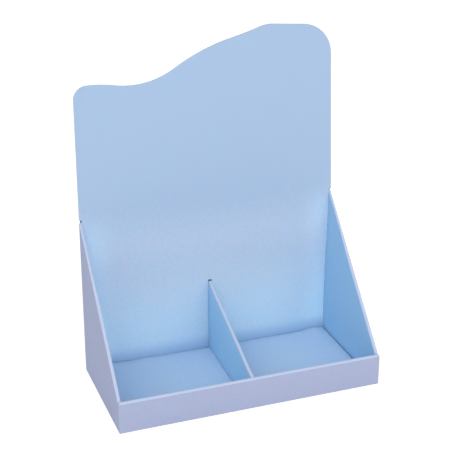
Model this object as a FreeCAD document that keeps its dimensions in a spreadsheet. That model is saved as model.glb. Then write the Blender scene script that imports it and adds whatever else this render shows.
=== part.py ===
"""Counter display stand of thin corrugated board: a folded tray with a wavy header, and a divider.

X runs across the stand, Y from the front lip to the back panel, and Z up. The origin is at the
middle of the footprint, on the surface that the stand rests on.
"""

import FreeCAD, Part
import math
import os

import Sketcher

SIZES = [
    ("width", 250, "outside width of the tray, and of the header"),
    ("depth", 118.5, "outside depth, from the lip to the back of the back panel"),
    ("lip_height", 30, "height of the front lip"),
    ("side_height", 152.5, "height of a side wall at the back"),
    ("board", 1, "thickness of the board"),
    ("layer_gap", 0.1, "clearance between two layers that lie on each other"),
    ("floor_lift", 0.6, "height of the inner floor over the base"),
    ("floor_margin", 1.2, "gap between the inner floor and the back panel"),
    ("side_margin", 0.6, "gap between the inner floor and a side wall"),
    ("header_height", 319.5, "height of the header's crest"),
    ("shoulder_drop", 41.1, "drop from the crest to the header's low shoulder, on the left"),
    ("shoulder_round", 12, "radius of the corner at the low shoulder"),
    ("dip_start", 37, "left edge to where the top edge starts to dip"),
    ("dip_drop", 2, "drop of that point below the shoulder"),
    ("rise_run", 92, "left edge to the steepest point of the wave"),
    ("rise_drop", 32.5, "drop from the crest to the steepest point"),
    ("swell_run", 145, "left edge to the upper swell of the wave"),
    ("swell_drop", 9.7, "drop from the crest to the upper swell"),
    ("brow_run", 173, "left edge to the end of the long slope"),
    ("brow_drop", 1.5, "drop from the crest to the end of the long slope"),
    ("crest_run", 185, "left edge to the crest"),
    ("crest_round", 29, "radius of the corner beside the crest"),
    ("crest_fall", 2.4, "fall of the top edge from the crest to its round corner"),
    ("header_taper", 6, "how far the right edge leans in at the top"),
    ("notch_gap", 1.2, "height of the slit between a side wall and the header"),
    ("notch_round", 1.3, "radius of the relief hole at the end of that slit"),
    ("flap_length", 42, "length of a corner flap of the back panel"),
    ("flap_drop", 12, "height from the top of a side wall's hollow to its corner flap"),
    ("lip_flap", 26, "length of a side wall's flap inside the lip"),
    ("lip_relief", 1.2, "clearance over that flap, under the lip's top"),
    ("divider_height", 73.3, "height of the divider at the back"),
    ("leaf_gap", 1.1, "gap between the two leaves of the divider"),
    ("tab_low", 30, "height of the lower edge of the divider's back tab"),
    ("tab_drop", 3, "drop of the back tab's upper edge below the top of the divider"),
    ("slot_gap", 0.4, "clearance of a tab in its slot"),
    ("slot_spare", 6, "length of the back slot above the tab"),
    ("hook_low", 10, "height of the lower edge of the divider's front tab"),
    ("hook_high", 20, "height of the upper edge of the divider's front tab"),
    ("seat_gap", 0.2, "clearance between the divider and the sheet around it"),
]

GROUND = "0 * Sizes.board"
FRONT = "(-Sizes.depth / 2)"
BACK = "(Sizes.depth / 2)"
SIDE = "(Sizes.width / 2)"
LEFT = "(-Sizes.width / 2)"
BOARD = "Sizes.board"
GAP = "Sizes.layer_gap"
WALL = f"(3 * {BOARD} + 2 * {GAP})"
FLOOR = f"(2 * {BOARD} + Sizes.floor_lift)"
LIP = "Sizes.lip_height"
LIP_BACK = f"({FRONT} + {WALL})"
SLANT_ROUND = f"(0.8 * {BOARD})"
PANEL_FRONT = f"({BACK} - {BOARD})"
PANEL_SIDE = f"({SIDE} - {BOARD} - {GAP})"
NOTCH_TOP = "(Sizes.side_height + Sizes.notch_gap)"
WALL_SLOPE = f"((Sizes.side_height - {LIP}) / (Sizes.depth - {WALL}))"
DIVIDER_FRONT = f"({LIP_BACK} + Sizes.seat_gap)"
DIVIDER_BACK = f"({PANEL_FRONT} - Sizes.seat_gap)"
DIVIDER_SLOPE = f"((Sizes.divider_height - {LIP}) / ({DIVIDER_BACK} - {DIVIDER_FRONT}))"
DIVIDER_THICK = f"(2 * {BOARD} + Sizes.leaf_gap)"
DIVIDER_FOOT = f"({FLOOR} + Sizes.seat_gap)"
TAB_TOP = "(Sizes.divider_height - Sizes.tab_drop)"
HOOK_END = f"({LIP_BACK} - {BOARD})"

ARC = "arc"
LEAD = "lead"
ORIGIN = -1
START, END, MIDDLE = range(1, 4)
TOUCH = 0.001


def wall_top(depth_at):
    """Height of a side wall's slanted top at a distance along Y."""
    return f"({LIP} + ({depth_at} - {LIP_BACK}) * {WALL_SLOPE})"


def divider_top(depth_at):
    """Height of the divider's slanted top at a distance along Y."""
    return f"({LIP} + ({depth_at} - {DIVIDER_FRONT}) * {DIVIDER_SLOPE})"


def below_fold(slope):
    """Upright thickness of one layer under a slanted fold."""
    return f"({BOARD} * sqrt(1 + {slope} ^ 2))"


def make_sheet(document):
    """Keep the driving sizes in a spreadsheet, one row each."""
    sheet = document.addObject("Spreadsheet::Sheet", "Sizes")
    for row, (alias, size, meaning) in enumerate(SIZES, start=1):
        sheet.set(f"A{row}", meaning)
        sheet.set(f"B{row}", str(size))
        sheet.setAlias(f"B{row}", alias)
    document.recompute()
    return sheet


def origin_plane(body, role):
    """One of the body's own origin planes."""
    return next(item for item in body.Origin.OriginFeatures if item.Role == role)


def new_sketch(body, name, plane_role, offset=GROUND):
    """Attach a sketch to an origin plane of its body, moved along the plane's normal."""
    sketch = body.newObject("Sketcher::SketchObject", name)
    sketch.AttachmentSupport = [(origin_plane(body, plane_role), "")]
    sketch.MapMode = "FlatFace"
    sketch.setExpression("AttachmentOffset.Base.z", offset)
    return sketch


def tangent_arc(start, end, heading):
    """Arc from start to end that leaves start along the heading, and whether it turns left."""
    chord = end - start
    normal = FreeCAD.Vector(-heading.y, heading.x, 0)
    radius = chord.Length**2 / (2 * chord.dot(normal))
    centre = start + normal * radius
    turns_left = radius > 0
    first, last = (start, end) if turns_left else (end, start)
    first_angle = math.atan2(first.y - centre.y, first.x - centre.x)
    last_angle = math.atan2(last.y - centre.y, last.x - centre.x)
    circle = Part.Circle(centre, FreeCAD.Vector(0, 0, 1), abs(radius))
    return Part.ArcOfCircle(circle, first_angle, last_angle), turns_left


def pin_point(sketch, piece, end, across, up):
    """Tie a point of a sketch to its two formulas."""
    for kind, formula in (("DistanceX", across), ("DistanceY", up)):
        value = sketch.evalExpression(formula)
        number = sketch.addConstraint(Sketcher.Constraint(kind, ORIGIN, START, piece, end, value))
        sketch.setExpression(f"Constraints[{number}]", formula)


def draw_outline(sketch, points):
    """Draw a closed outline through its points.

    A point is (across, up) at the end of a straight piece, (across, up, ARC) at the end of an arc
    that is tangent to the piece before it, or (across, up, LEAD) at the end of an arc that is
    tangent to the straight piece after it.
    """
    places = [FreeCAD.Vector(sketch.evalExpression(p[0]), sketch.evalExpression(p[1]), 0) for p in points]
    kinds = [point[2] if len(point) > 2 else None for point in points]
    count = len(points)
    heading = FreeCAD.Vector(1, 0, 0)
    pieces = []
    for index, start in enumerate(places):
        end = places[(index + 1) % count]
        kind = kinds[(index + 1) % count]
        if kind == ARC:
            shape, turns_left = tangent_arc(start, end, heading)
            turn = 2 * math.degrees(heading.getAngle(end - start)) * (1 if turns_left else -1)
            heading = FreeCAD.Rotation(FreeCAD.Vector(0, 0, 1), turn).multVec(heading)
        elif kind == LEAD:
            heading = (places[(index + 2) % count] - end).normalize()
            shape, turns_right = tangent_arc(end, start, heading.negative())
            turns_left = not turns_right
        else:
            shape, turns_left = Part.LineSegment(start, end), True
            heading = (end - start).normalize()
        piece = sketch.addGeometry(shape)
        pieces.append((piece, START, END) if turns_left else (piece, END, START))
    for index, (piece, begin, _) in enumerate(pieces):
        before, _, finish = pieces[index - 1]
        is_smooth = kinds[(index + 1) % count] == ARC or kinds[index] == LEAD
        pin_point(sketch, piece, begin, points[index][0], points[index][1])
        joint = "Tangent" if is_smooth else "Coincident"
        sketch.addConstraint(Sketcher.Constraint(joint, before, finish, piece, begin))


def draw_circle(sketch, across, up, radius):
    """Draw a circle with its centre and radius tied to formulas."""
    centre = FreeCAD.Vector(sketch.evalExpression(across), sketch.evalExpression(up), 0)
    value = sketch.evalExpression(radius)
    piece = sketch.addGeometry(Part.Circle(centre, FreeCAD.Vector(0, 0, 1), value))
    pin_point(sketch, piece, MIDDLE, across, up)
    number = sketch.addConstraint(Sketcher.Constraint("Radius", piece, value))
    sketch.setExpression(f"Constraints[{number}]", radius)


def pad(body, sketch, name, length, both_ways=False):
    """Thicken a sketch along its normal."""
    feature = body.newObject("PartDesign::Pad", name)
    feature.Profile = sketch
    feature.SideType = "Symmetric" if both_ways else "One side"
    feature.setExpression("Length", length)
    return feature


def pocket(body, sketch, name, length, both_ways=False):
    """Cut a sketch out along its normal, and make sure that it takes something away."""
    before = body.Tip
    feature = body.newObject("PartDesign::Pocket", name)
    feature.Profile = sketch
    feature.SideType = "Symmetric" if both_ways else "One side"
    feature.Reversed = not both_ways
    feature.setExpression("Length", length)
    body.Document.recompute()
    if feature.Shape.Volume >= before.Shape.Volume:
        raise RuntimeError(f"{name} takes nothing away")
    return feature


def round_slanted_fold(body, name, sides, top):
    """Round the long edges of a slanted fold, at the given distances from the middle plane."""
    body.Document.recompute()
    base = body.Tip
    across = [base.evalExpression(side) for side in sides]
    chosen = []
    for number, edge in enumerate(base.Shape.Edges, start=1):
        places = [vertex.Point for vertex in edge.Vertexes]
        on_top = all(abs(p.z - base.evalExpression(top(f"({p.y})"))) < TOUCH for p in places)
        at_side = any(all(abs(abs(p.x) - x) < TOUCH for p in places) for x in across)
        if on_top and at_side and abs(places[0].y - places[-1].y) > TOUCH:
            chosen.append(f"Edge{number}")
    fillet = body.newObject("PartDesign::Fillet", name)
    fillet.Base = (base, chosen)
    fillet.setExpression("Radius", SLANT_ROUND)
    body.Tip = fillet


def add_base_and_lip(body):
    """Base, front of the lip and the flat top of its roll-over, as one bent strip."""
    sketch = new_sketch(body, "base_and_lip_section", "YZ_Plane")
    under_fold = f"({LIP} - {BOARD})"
    draw_outline(
        sketch,
        [
            (f"{FRONT} + {BOARD}", GROUND, ARC),
            (PANEL_FRONT, GROUND),
            (BACK, BOARD, ARC),
            (f"{FRONT} + {BOARD}", BOARD),
            (f"{FRONT} + {BOARD}", under_fold),
            (LIP_BACK, under_fold),
            (f"{LIP_BACK} - {BOARD}", LIP, LEAD),
            (f"{FRONT} + {BOARD}", LIP),
            (FRONT, under_fold, ARC),
            (FRONT, BOARD),
        ],
    )
    pad(body, sketch, "base_and_lip", "Sizes.width", both_ways=True)


def add_inner_floor(body):
    """Back of the lip's roll-over, and the inner floor that it turns into."""
    sketch = new_sketch(body, "inner_floor_section", "YZ_Plane")
    floor_end = f"({PANEL_FRONT} - Sizes.floor_margin)"
    draw_outline(
        sketch,
        [
            (LIP_BACK, f"{LIP} - {BOARD}"),
            (f"{LIP_BACK} - {BOARD}", f"{LIP} - {BOARD}"),
            (f"{LIP_BACK} - {BOARD}", FLOOR),
            (LIP_BACK, f"{FLOOR} - {BOARD}", ARC),
            (floor_end, f"{FLOOR} - {BOARD}"),
            (floor_end, FLOOR),
            (LIP_BACK, FLOOR),
        ],
    )
    pad(body, sketch, "inner_floor", f"Sizes.width - 2 * ({WALL} + Sizes.side_margin)", both_ways=True)


def add_back_panel(body):
    """Lower part of the back panel, between the side walls, with its upright folds rounded."""
    sketch = new_sketch(body, "back_panel_plan", "XY_Plane", BOARD)
    fold_start = f"({PANEL_SIDE} - {BOARD})"
    draw_outline(
        sketch,
        [
            (f"-{PANEL_SIDE}", PANEL_FRONT),
            (f"-{fold_start}", BACK, LEAD),
            (fold_start, BACK),
            (PANEL_SIDE, PANEL_FRONT, ARC),
        ],
    )
    pad(body, sketch, "back_panel", f"{NOTCH_TOP} - {BOARD}")


def add_header(body):
    """Header with its wave, in one plane with the back panel and as wide as the tray."""
    sketch = new_sketch(body, "header_outline", "XZ_Plane", f"-{BACK}")
    crest = "Sizes.header_height"
    shoulder = f"({crest} - Sizes.shoulder_drop)"
    round_start = f"({SIDE} - Sizes.header_taper - Sizes.crest_round)"
    round_top = f"({crest} - Sizes.crest_fall)"
    draw_outline(
        sketch,
        [
            (LEFT, NOTCH_TOP),
            (SIDE, NOTCH_TOP),
            (f"{SIDE} - Sizes.header_taper", f"{round_top} - Sizes.crest_round"),
            (round_start, round_top, ARC),
            (f"{LEFT} + Sizes.crest_run", crest),
            (f"{LEFT} + Sizes.brow_run", f"{crest} - Sizes.brow_drop", ARC),
            (f"{LEFT} + Sizes.swell_run", f"{crest} - Sizes.swell_drop", ARC),
            (f"{LEFT} + Sizes.rise_run", f"{crest} - Sizes.rise_drop", ARC),
            (f"{LEFT} + Sizes.dip_start", f"{shoulder} - Sizes.dip_drop", ARC),
            (f"{LEFT} + Sizes.shoulder_round", shoulder, ARC),
            (LEFT, f"{shoulder} - Sizes.shoulder_round", ARC),
        ],
    )
    pad(body, sketch, "header", BOARD)


def cut_relief_holes(body):
    """Round relief hole at the inner end of the slit between each side wall and the header."""
    sketch = new_sketch(body, "relief_outline", "XZ_Plane", f"-{BACK}")
    for edge in (f"-{PANEL_SIDE}", PANEL_SIDE):
        draw_circle(sketch, edge, f"{NOTCH_TOP} - Sizes.notch_gap / 2", "Sizes.notch_round")
    pocket(body, sketch, "relief_holes", BOARD)


def cut_divider_slots(body):
    """Slot in the back panel and slot in the back of the lip, for the divider's two tabs."""
    half = f"({DIVIDER_THICK} / 2 + Sizes.slot_gap)"
    slots = (
        ("back_slot", BACK, "Sizes.tab_low", f"{TAB_TOP} + Sizes.slot_spare"),
        ("lip_slot", LIP_BACK, "Sizes.hook_low", "Sizes.hook_high"),
    )
    for name, rear_face, low, high in slots:
        sketch = new_sketch(body, f"{name}_outline", "XZ_Plane", f"-{rear_face}")
        low_end = f"({low} - Sizes.slot_gap)"
        high_end = f"({high} + Sizes.slot_gap)"
        draw_outline(
            sketch,
            [(f"-{half}", low_end), (half, low_end), (half, high_end), (f"-{half}", high_end)],
        )
        pocket(body, sketch, name, BOARD)


def add_outer_side(body):
    """Outer panel of the side wall at +X, cut away in front to pass under the lip's top."""
    sketch = new_sketch(body, "side_outline", "YZ_Plane", f"{SIDE} - {BOARD}")
    start = f"({FRONT} + {BOARD} + {GAP})"
    top_start = f"({LIP_BACK} + {GAP})"
    under_lip = f"({LIP} - {BOARD} - Sizes.lip_relief)"
    draw_outline(
        sketch,
        [
            (start, BOARD),
            (BACK, BOARD),
            (BACK, wall_top(BACK)),
            (top_start, wall_top(top_start)),
            (top_start, under_lip),
            (start, under_lip),
        ],
    )
    return pad(body, sketch, "side_outer", BOARD)


def add_rolled_side(body):
    """Slanted top and inner panel of the side wall at +X, with a hollow for the corner flap."""
    start = f"({LIP_BACK} + {GAP})"
    end = f"({PANEL_FRONT} - {GAP})"
    foot = f"({BOARD} + {GAP})"
    drop = below_fold(WALL_SLOPE)
    roll = new_sketch(body, "side_roll_outline", "YZ_Plane", f"{SIDE} - {WALL}")
    draw_outline(roll, [(start, foot), (end, foot), (end, wall_top(end)), (start, wall_top(start))])
    roll_pad = pad(body, roll, "side_roll", f"{WALL} - {BOARD}")
    hollow = new_sketch(body, "side_hollow_outline", "YZ_Plane", f"{SIDE} - {WALL} + {BOARD}")
    draw_outline(
        hollow,
        [
            (start, foot),
            (end, foot),
            (end, f"{wall_top(end)} - {drop}"),
            (start, f"{wall_top(start)} - {drop}"),
        ],
    )
    return roll_pad, pocket(body, hollow, "side_hollow", f"{WALL} - 2 * {BOARD}")


def add_corner_flaps(body):
    """Flap of the side wall at +X inside the lip, and flap of the back panel inside that wall."""
    flap_back = f"({FRONT} + 2 * {BOARD} + {GAP})"
    low = f"({BOARD} + {GAP})"
    high = f"({LIP} - {BOARD} - Sizes.lip_relief)"
    inner_end = f"({SIDE} - Sizes.lip_flap)"
    lip_flap = new_sketch(body, "lip_flap_outline", "XZ_Plane", f"-{flap_back}")
    draw_outline(lip_flap, [(inner_end, low), (SIDE, low), (SIDE, high), (inner_end, high)])
    lip_pad = pad(body, lip_flap, "lip_flap", BOARD)

    front_end = f"({BACK} - Sizes.flap_length)"
    drop = f"({below_fold(WALL_SLOPE)} + Sizes.flap_drop)"
    back_flap = new_sketch(body, "back_flap_outline", "YZ_Plane", f"{PANEL_SIDE} - {BOARD}")
    draw_outline(
        back_flap,
        [
            (front_end, low),
            (PANEL_FRONT, low),
            (PANEL_FRONT, f"{wall_top(PANEL_FRONT)} - {drop}"),
            (front_end, f"{wall_top(front_end)} - {drop}"),
        ],
    )
    return lip_pad, pad(body, back_flap, "back_flap", BOARD)


def round_side_fold(body):
    """Rounded fold between the base and the side wall at +X."""
    sketch = new_sketch(body, "side_fold_section", "XZ_Plane")
    draw_outline(
        sketch,
        [
            (SIDE, f"2 * {BOARD}"),
            (SIDE, BOARD),
            (f"{SIDE} - {BOARD}", GROUND, ARC),
            (f"{SIDE} - 2 * {BOARD}", GROUND),
            (f"{SIDE} - 2 * {BOARD}", f"-{BOARD}"),
            (f"{SIDE} + {BOARD}", f"-{BOARD}"),
            (f"{SIDE} + {BOARD}", f"2 * {BOARD}"),
        ],
    )
    return pocket(body, sketch, "side_fold", "Sizes.depth", both_ways=True)


def mirror_side(body, features):
    """Repeat the features of the side wall at +X on the other side."""
    mirror = body.newObject("PartDesign::Mirrored", "other_side")
    mirror.Originals = features
    mirror.MirrorPlane = (origin_plane(body, "YZ_Plane"), [""])
    body.Tip = mirror


def make_display_body(document):
    """The whole folded sheet of the tray and its header, as one body."""
    body = document.addObject("PartDesign::Body", "display_body")
    add_base_and_lip(body)
    add_inner_floor(body)
    add_back_panel(body)
    add_header(body)
    cut_relief_holes(body)
    cut_divider_slots(body)
    features = [add_outer_side(body), *add_rolled_side(body), *add_corner_flaps(body), round_side_fold(body)]
    mirror_side(body, features)
    round_slanted_fold(body, "side_tops", (SIDE, f"({SIDE} - {WALL})"), wall_top)
    return body


def make_divider(document):
    """Sheet doubled over along its slanted top, with a tab at the back and one at the front."""
    body = document.addObject("PartDesign::Body", "divider")
    outline = new_sketch(body, "divider_outline", "YZ_Plane")
    draw_outline(
        outline,
        [
            (DIVIDER_FRONT, DIVIDER_FOOT),
            (DIVIDER_BACK, DIVIDER_FOOT),
            (DIVIDER_BACK, "Sizes.tab_low"),
            (BACK, "Sizes.tab_low"),
            (BACK, TAB_TOP),
            (DIVIDER_BACK, TAB_TOP),
            (DIVIDER_BACK, "Sizes.divider_height"),
            (DIVIDER_FRONT, LIP),
            (DIVIDER_FRONT, "Sizes.hook_high"),
            (HOOK_END, "Sizes.hook_high"),
            (HOOK_END, "Sizes.hook_low"),
            (DIVIDER_FRONT, "Sizes.hook_low"),
        ],
    )
    pad(body, outline, "two_leaves", DIVIDER_THICK, both_ways=True)
    between = new_sketch(body, "leaf_gap_outline", "YZ_Plane")
    drop = below_fold(DIVIDER_SLOPE)
    draw_outline(
        between,
        [
            (FRONT, GROUND),
            (BACK, GROUND),
            (BACK, f"{divider_top(BACK)} - {drop}"),
            (FRONT, f"{divider_top(FRONT)} - {drop}"),
        ],
    )
    pocket(body, between, "between_leaves", "Sizes.leaf_gap", both_ways=True)
    round_slanted_fold(body, "divider_top", (f"({DIVIDER_THICK} / 2)",), divider_top)
    return body


def check(document, bodies):
    """Stop with a plain message if an object or a sub-part failed."""
    for item in document.Objects:
        if "Invalid" in item.State or "Error" in item.State:
            raise RuntimeError(f"{item.Name} failed: {item.State}")
    for body in bodies:
        if body.Shape.isNull() or not body.Shape.isValid() or len(body.Shape.Solids) != 1:
            raise RuntimeError(f"{body.Label} is not one valid solid")


def main():
    """Make both sub-parts and write each one to its own file."""
    document = FreeCAD.newDocument("display_stand")
    make_sheet(document)
    bodies = []
    for label, make in (("display_body", make_display_body), ("divider", make_divider)):
        body = make(document)
        body.Label = label
        body.Placement = FreeCAD.Placement()
        bodies.append(body)
    document.recompute()
    check(document, bodies)
    os.makedirs("parts", exist_ok=True)
    for body in bodies:
        body.Shape.exportStep(os.path.join("parts", f"{body.Label}.step"))
        box = body.Shape.BoundBox
        print(body.Label, round(body.Shape.Volume), box)


main()
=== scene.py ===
"""Counter display stand of folded board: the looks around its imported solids."""

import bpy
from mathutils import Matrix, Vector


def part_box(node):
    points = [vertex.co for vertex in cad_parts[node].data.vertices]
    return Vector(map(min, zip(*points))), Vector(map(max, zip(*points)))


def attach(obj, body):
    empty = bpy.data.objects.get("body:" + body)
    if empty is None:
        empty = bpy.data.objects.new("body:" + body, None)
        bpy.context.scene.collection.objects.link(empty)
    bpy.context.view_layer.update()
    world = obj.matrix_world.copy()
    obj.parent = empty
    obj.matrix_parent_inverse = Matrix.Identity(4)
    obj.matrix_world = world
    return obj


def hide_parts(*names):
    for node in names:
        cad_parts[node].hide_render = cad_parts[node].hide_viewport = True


bl_info = {
    "name": "Folded Board Display Stand",
    "version": (1, 0, 0),
    "blender": (4, 5, 0),
    "location": "View3D > Sidebar > Display Stand",
    "description": "Folds the sheet of a counter display stand and its divider, and lights them",
    "category": "Object",
}

import math

import bmesh
import bpy
from mathutils import Matrix, Vector

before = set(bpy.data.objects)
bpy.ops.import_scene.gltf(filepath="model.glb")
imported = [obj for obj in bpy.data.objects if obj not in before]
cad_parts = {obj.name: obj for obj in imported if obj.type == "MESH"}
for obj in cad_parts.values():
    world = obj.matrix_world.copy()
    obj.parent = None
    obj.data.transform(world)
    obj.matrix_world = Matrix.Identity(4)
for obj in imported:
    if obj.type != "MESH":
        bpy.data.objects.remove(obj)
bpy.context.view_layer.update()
BODY_LOW, BODY_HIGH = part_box("display_body")
DIVIDER_LOW, DIVIDER_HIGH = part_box("divider")

MM = 0.001
ROOT = "root"

# Lengths that differ by less than this are taken as equal.
TOUCH = 0.02 * MM
# Points of a finished mesh that lie closer than this become one.
MERGE = TOUCH / 200
# Points within this distance of an edge go with it.
RIM = 1 * MM
# Digits that keep a length in metres to a micrometre.
MICROMETRE_DIGITS = 6

# Widths of the strips that a sheet is split into, so that it can bend.
FINE_STRIP = 6 * MM
WIDE_STRIP = 8 * MM

# Bend radii in thicknesses of the board, and the number of faces round a bend.
TIGHT_BEND = 0.55
BASE_BEND = 0.7
LIP_BEND = 1.05
BEND_FACES = 4

# Rounding of the cut edges, and the angle up to which faces are shaded as one.
ARRIS = 0.12 * MM
ARRIS_FACES = 2
ARRIS_ANGLE = math.radians(50)
SMOOTH_ANGLE = math.radians(35)

# Least part of a face's normal along an axis, for a face that looks that way.
SQUARELY = 0.7
MAINLY = 0.5
SLIGHTLY = 0.2


def length_property(name, description, default):
    """A size in metres that a user can change."""
    return bpy.props.FloatProperty(
        name=name, description=description, default=default, unit="LENGTH", precision=5
    )


def colour_property(name, description, default):
    """A colour that a user can change, in linear light."""
    return bpy.props.FloatVectorProperty(
        name=name, description=description, default=default, subtype="COLOR", min=0, max=1
    )


class StandSizes(bpy.types.PropertyGroup):
    """Sizes of the folded sheet and of the divider."""

    lip_height: length_property("Lip height", "Height of the front lip", 30 * MM)
    side_height: length_property("Side height", "Height of a side wall at the back", 152.5 * MM)
    board: length_property("Board", "Thickness of the board", 1 * MM)
    layer_gap: length_property("Layer gap", "Clearance between two layers", 0.1 * MM)
    floor_lift: length_property("Floor lift", "Height of the inner floor over the base", 0.6 * MM)
    floor_margin: length_property("Floor margin", "Gap behind the inner floor", 1.2 * MM)
    side_margin: length_property("Side margin", "Gap beside the inner floor", 0.2 * MM)
    notch_gap: length_property("Slit", "Height of the slit under the header's ends", 1.2 * MM)
    notch_round: length_property("Relief hole", "Radius of the hole at the end of the slit", 1.3 * MM)
    lip_relief: length_property("Lip relief", "Clearance over the side panel inside the lip", 1.2 * MM)
    tab_low: length_property("Tab foot", "Height of the lower edge of the divider's back tab", 30 * MM)
    tab_drop: length_property("Tab drop", "Drop of the back tab below the divider's top", 3 * MM)
    lip_rise: length_property("Lip rise", "Height of the lip's inner edge over its outer edge", 0.9 * MM)
    slot_gap: length_property("Slot clearance", "Clearance of a tab in its slot", 0.2 * MM)
    slot_spare: length_property("Spare slot", "Length of the back slot above the tab", 5.3 * MM)
    hook_low: length_property("Hook foot", "Height of the lower edge of the front tab", 10 * MM)
    hook_high: length_property("Hook top", "Height of the upper edge of the front tab", 20 * MM)
    panel_bow: length_property("Header bow", "How far the header bows forward", 1.2 * MM)
    floor_gap: length_property("Floor gap", "Extra gap beside the floor near the lip", 0.6 * MM)
    side_spread: length_property("Side spread", "Play of the inner side walls at their feet", 0.7 * MM)
    divider_lift: length_property("Divider lift", "Rise of the divider's foot at the lip", 0.8 * MM)
    divider_gap: length_property("Divider gap", "How far the divider's rear ends stray", 1.2 * MM)
    divider_flare: length_property("Divider flare", "Spread of the divider's fold at the lip", 0.5 * MM)
    foot_spread: length_property("Foot spread", "Spread of the divider's left foot", 1.3 * MM)
    floor_curl: length_property("Floor curl", "Lift of the inner floor's left back corner", 2.4 * MM)
    side_pinch: length_property("Side pinch", "How far a wall's fold is pressed flat at the back", 1 * MM)


class StandColours(bpy.types.PropertyGroup):
    """Colours of the board's prints with their painted light and shade, of its cut edges, of the painted
    shade in its slots, and of the table top.
    """

    header: colour_property("Header", "Print on the header and back panel", (0.37, 0.502, 0.698))
    # Painted light: the back's middle and low print are lighter than the header's, against the shade
    # inside the pockets.
    back_middle_painted_light: colour_property("Middle back", "Print behind the goods", (0.446, 0.57, 0.745))
    back_low_painted_light: colour_property("Low back", "Print low on the back panel", (0.535, 0.728, 0.89))
    # Painted shade: the outside print is a darker, more lilac copy of the header's print, toned to the
    # light on the lip's front.
    outside: colour_property("Outside", "Print on the lip and outside", (0.386, 0.431, 0.61))
    # Painted highlight: the fold print is lighter for the light from above on the upward folds, over some
    # real whitening of stretched print.
    fold: colour_property("Fold", "Print stretched over the top folds", (0.49, 0.565, 0.75))
    # Painted light and shade: the pocket walls', divider's and floor's prints are copies of the one
    # print, retoned to the light inside the pockets.
    wall: colour_property("Pocket wall", "Print on the pockets' side faces", (0.343, 0.577, 0.815))
    divider: colour_property("Divider", "Print on the divider's leaves", (0.37, 0.62, 0.856))
    floor: colour_property("Pocket floor", "Print on the inner floor", (0.444, 0.61, 0.813))
    core: colour_property("Cut edge", "Pale fluted core at a cut edge", (0.5, 0.56, 0.74))
    # Painted shade: near black in the slot's spare end, the relief holes and the floor strip under the
    # divider, where the real board has only shade.
    shade: colour_property("Slot", "Shaded core deep in a slot", (0.075, 0.07, 0.13))
    stage: colour_property("Stage", "Table top under the stand", (0.9, 0.9, 0.9))


def sizes():
    """The stand's sizes as set in the scene."""
    return bpy.context.scene.stand_sizes


def colours():
    """The stand's colours as set in the scene."""
    return bpy.context.scene.stand_colours


def wall_thickness():
    """Thickness of a side wall or of the lip: two layers with room for a flap between them."""
    return 3 * sizes().board + 2 * sizes().layer_gap


def lip_back():
    """Where the lip ends and the pockets start, along Y."""
    return BODY_LOW.y + wall_thickness()


def wall_slope():
    """Rise of a side wall's slanted top over each metre of depth."""
    return (sizes().side_height - sizes().lip_height) / (BODY_HIGH.y - lip_back())


def wall_top(depth_at):
    """Height of a side wall's slanted top at a place along Y."""
    return sizes().lip_height + (depth_at - lip_back()) * wall_slope()


def slit_top():
    """Height of the header's foot, above the slit at each end."""
    return sizes().side_height + sizes().notch_gap


def hole_height():
    """Height of the middle of a slit and of the relief hole at its end."""
    return slit_top() - sizes().notch_gap / 2


def panel_side():
    """Half the width of the back panel, between the side walls."""
    return BODY_HIGH.x - sizes().board - sizes().layer_gap


def slot_tab_top():
    """Height of the divider's back tab in its slot, with the clearance over it."""
    return DIVIDER_HIGH.z - sizes().tab_drop + sizes().slot_gap


def leave_edit():
    """Return to object mode if a piece is being edited."""
    active = bpy.context.view_layer.objects.active
    if active is not None and active.mode != "OBJECT":
        bpy.ops.object.mode_set(mode="OBJECT")


def clear_selection():
    """Return to object mode with nothing selected."""
    leave_edit()
    bpy.ops.object.select_all(action="DESELECT")


def pick(piece):
    """Make a piece the active one and the only one selected."""
    clear_selection()
    piece.select_set(True)
    bpy.context.view_layer.objects.active = piece


def edit(piece):
    """Enter edit mode on one piece with nothing selected."""
    pick(piece)
    bpy.ops.object.mode_set(mode="EDIT")
    bpy.ops.mesh.select_all(action="DESELECT")


def select_edges(piece, is_chosen):
    """Select the edges whose two ends both pass the test, and nothing else."""
    bpy.ops.mesh.select_mode(type="EDGE")
    bpy.ops.mesh.select_all(action="DESELECT")
    mesh = bmesh.from_edit_mesh(piece.data)
    for edge in mesh.edges:
        edge.select = all(is_chosen(vertex.co) for vertex in edge.verts)
    mesh.select_flush_mode()
    bmesh.update_edit_mesh(piece.data)


def select_points(piece, is_chosen):
    """Select the vertices that pass the test, and nothing else."""
    bpy.ops.mesh.select_mode(type="VERT")
    bpy.ops.mesh.select_all(action="DESELECT")
    mesh = bmesh.from_edit_mesh(piece.data)
    for vertex in mesh.verts:
        vertex.select = is_chosen(vertex.co)
    mesh.select_flush_mode()
    bmesh.update_edit_mesh(piece.data)


def near(value, target):
    """Whether two lengths agree."""
    return abs(value - target) < TOUCH


def extrude(*move):
    """Extrude what is selected."""
    bpy.ops.mesh.extrude_region_move(TRANSFORM_OT_translate={"value": move})


def flatten(axis, at):
    """Bring what is selected to one plane across an axis."""
    scale = [1, 1, 1]
    scale[axis] = 0
    centre = [0, 0, 0]
    centre[axis] = at
    bpy.ops.transform.resize(value=scale, center_override=centre)


def cut(point, normal):
    """Split every face of the piece along a plane."""
    bpy.ops.mesh.select_all(action="SELECT")
    bpy.ops.mesh.bisect(plane_co=point, plane_no=normal)
    bpy.ops.mesh.select_all(action="DESELECT")


def cut_evenly(axis, low, high, pitch):
    """Split a piece into strips about as wide as the pitch, so that it can bend."""
    count = round((high - low) / pitch)
    normal = [0, 0, 0]
    normal[axis] = 1
    for step in range(1, count):
        point = [0, 0, 0]
        point[axis] = low + (high - low) * step / count
        cut(point, normal)


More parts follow.
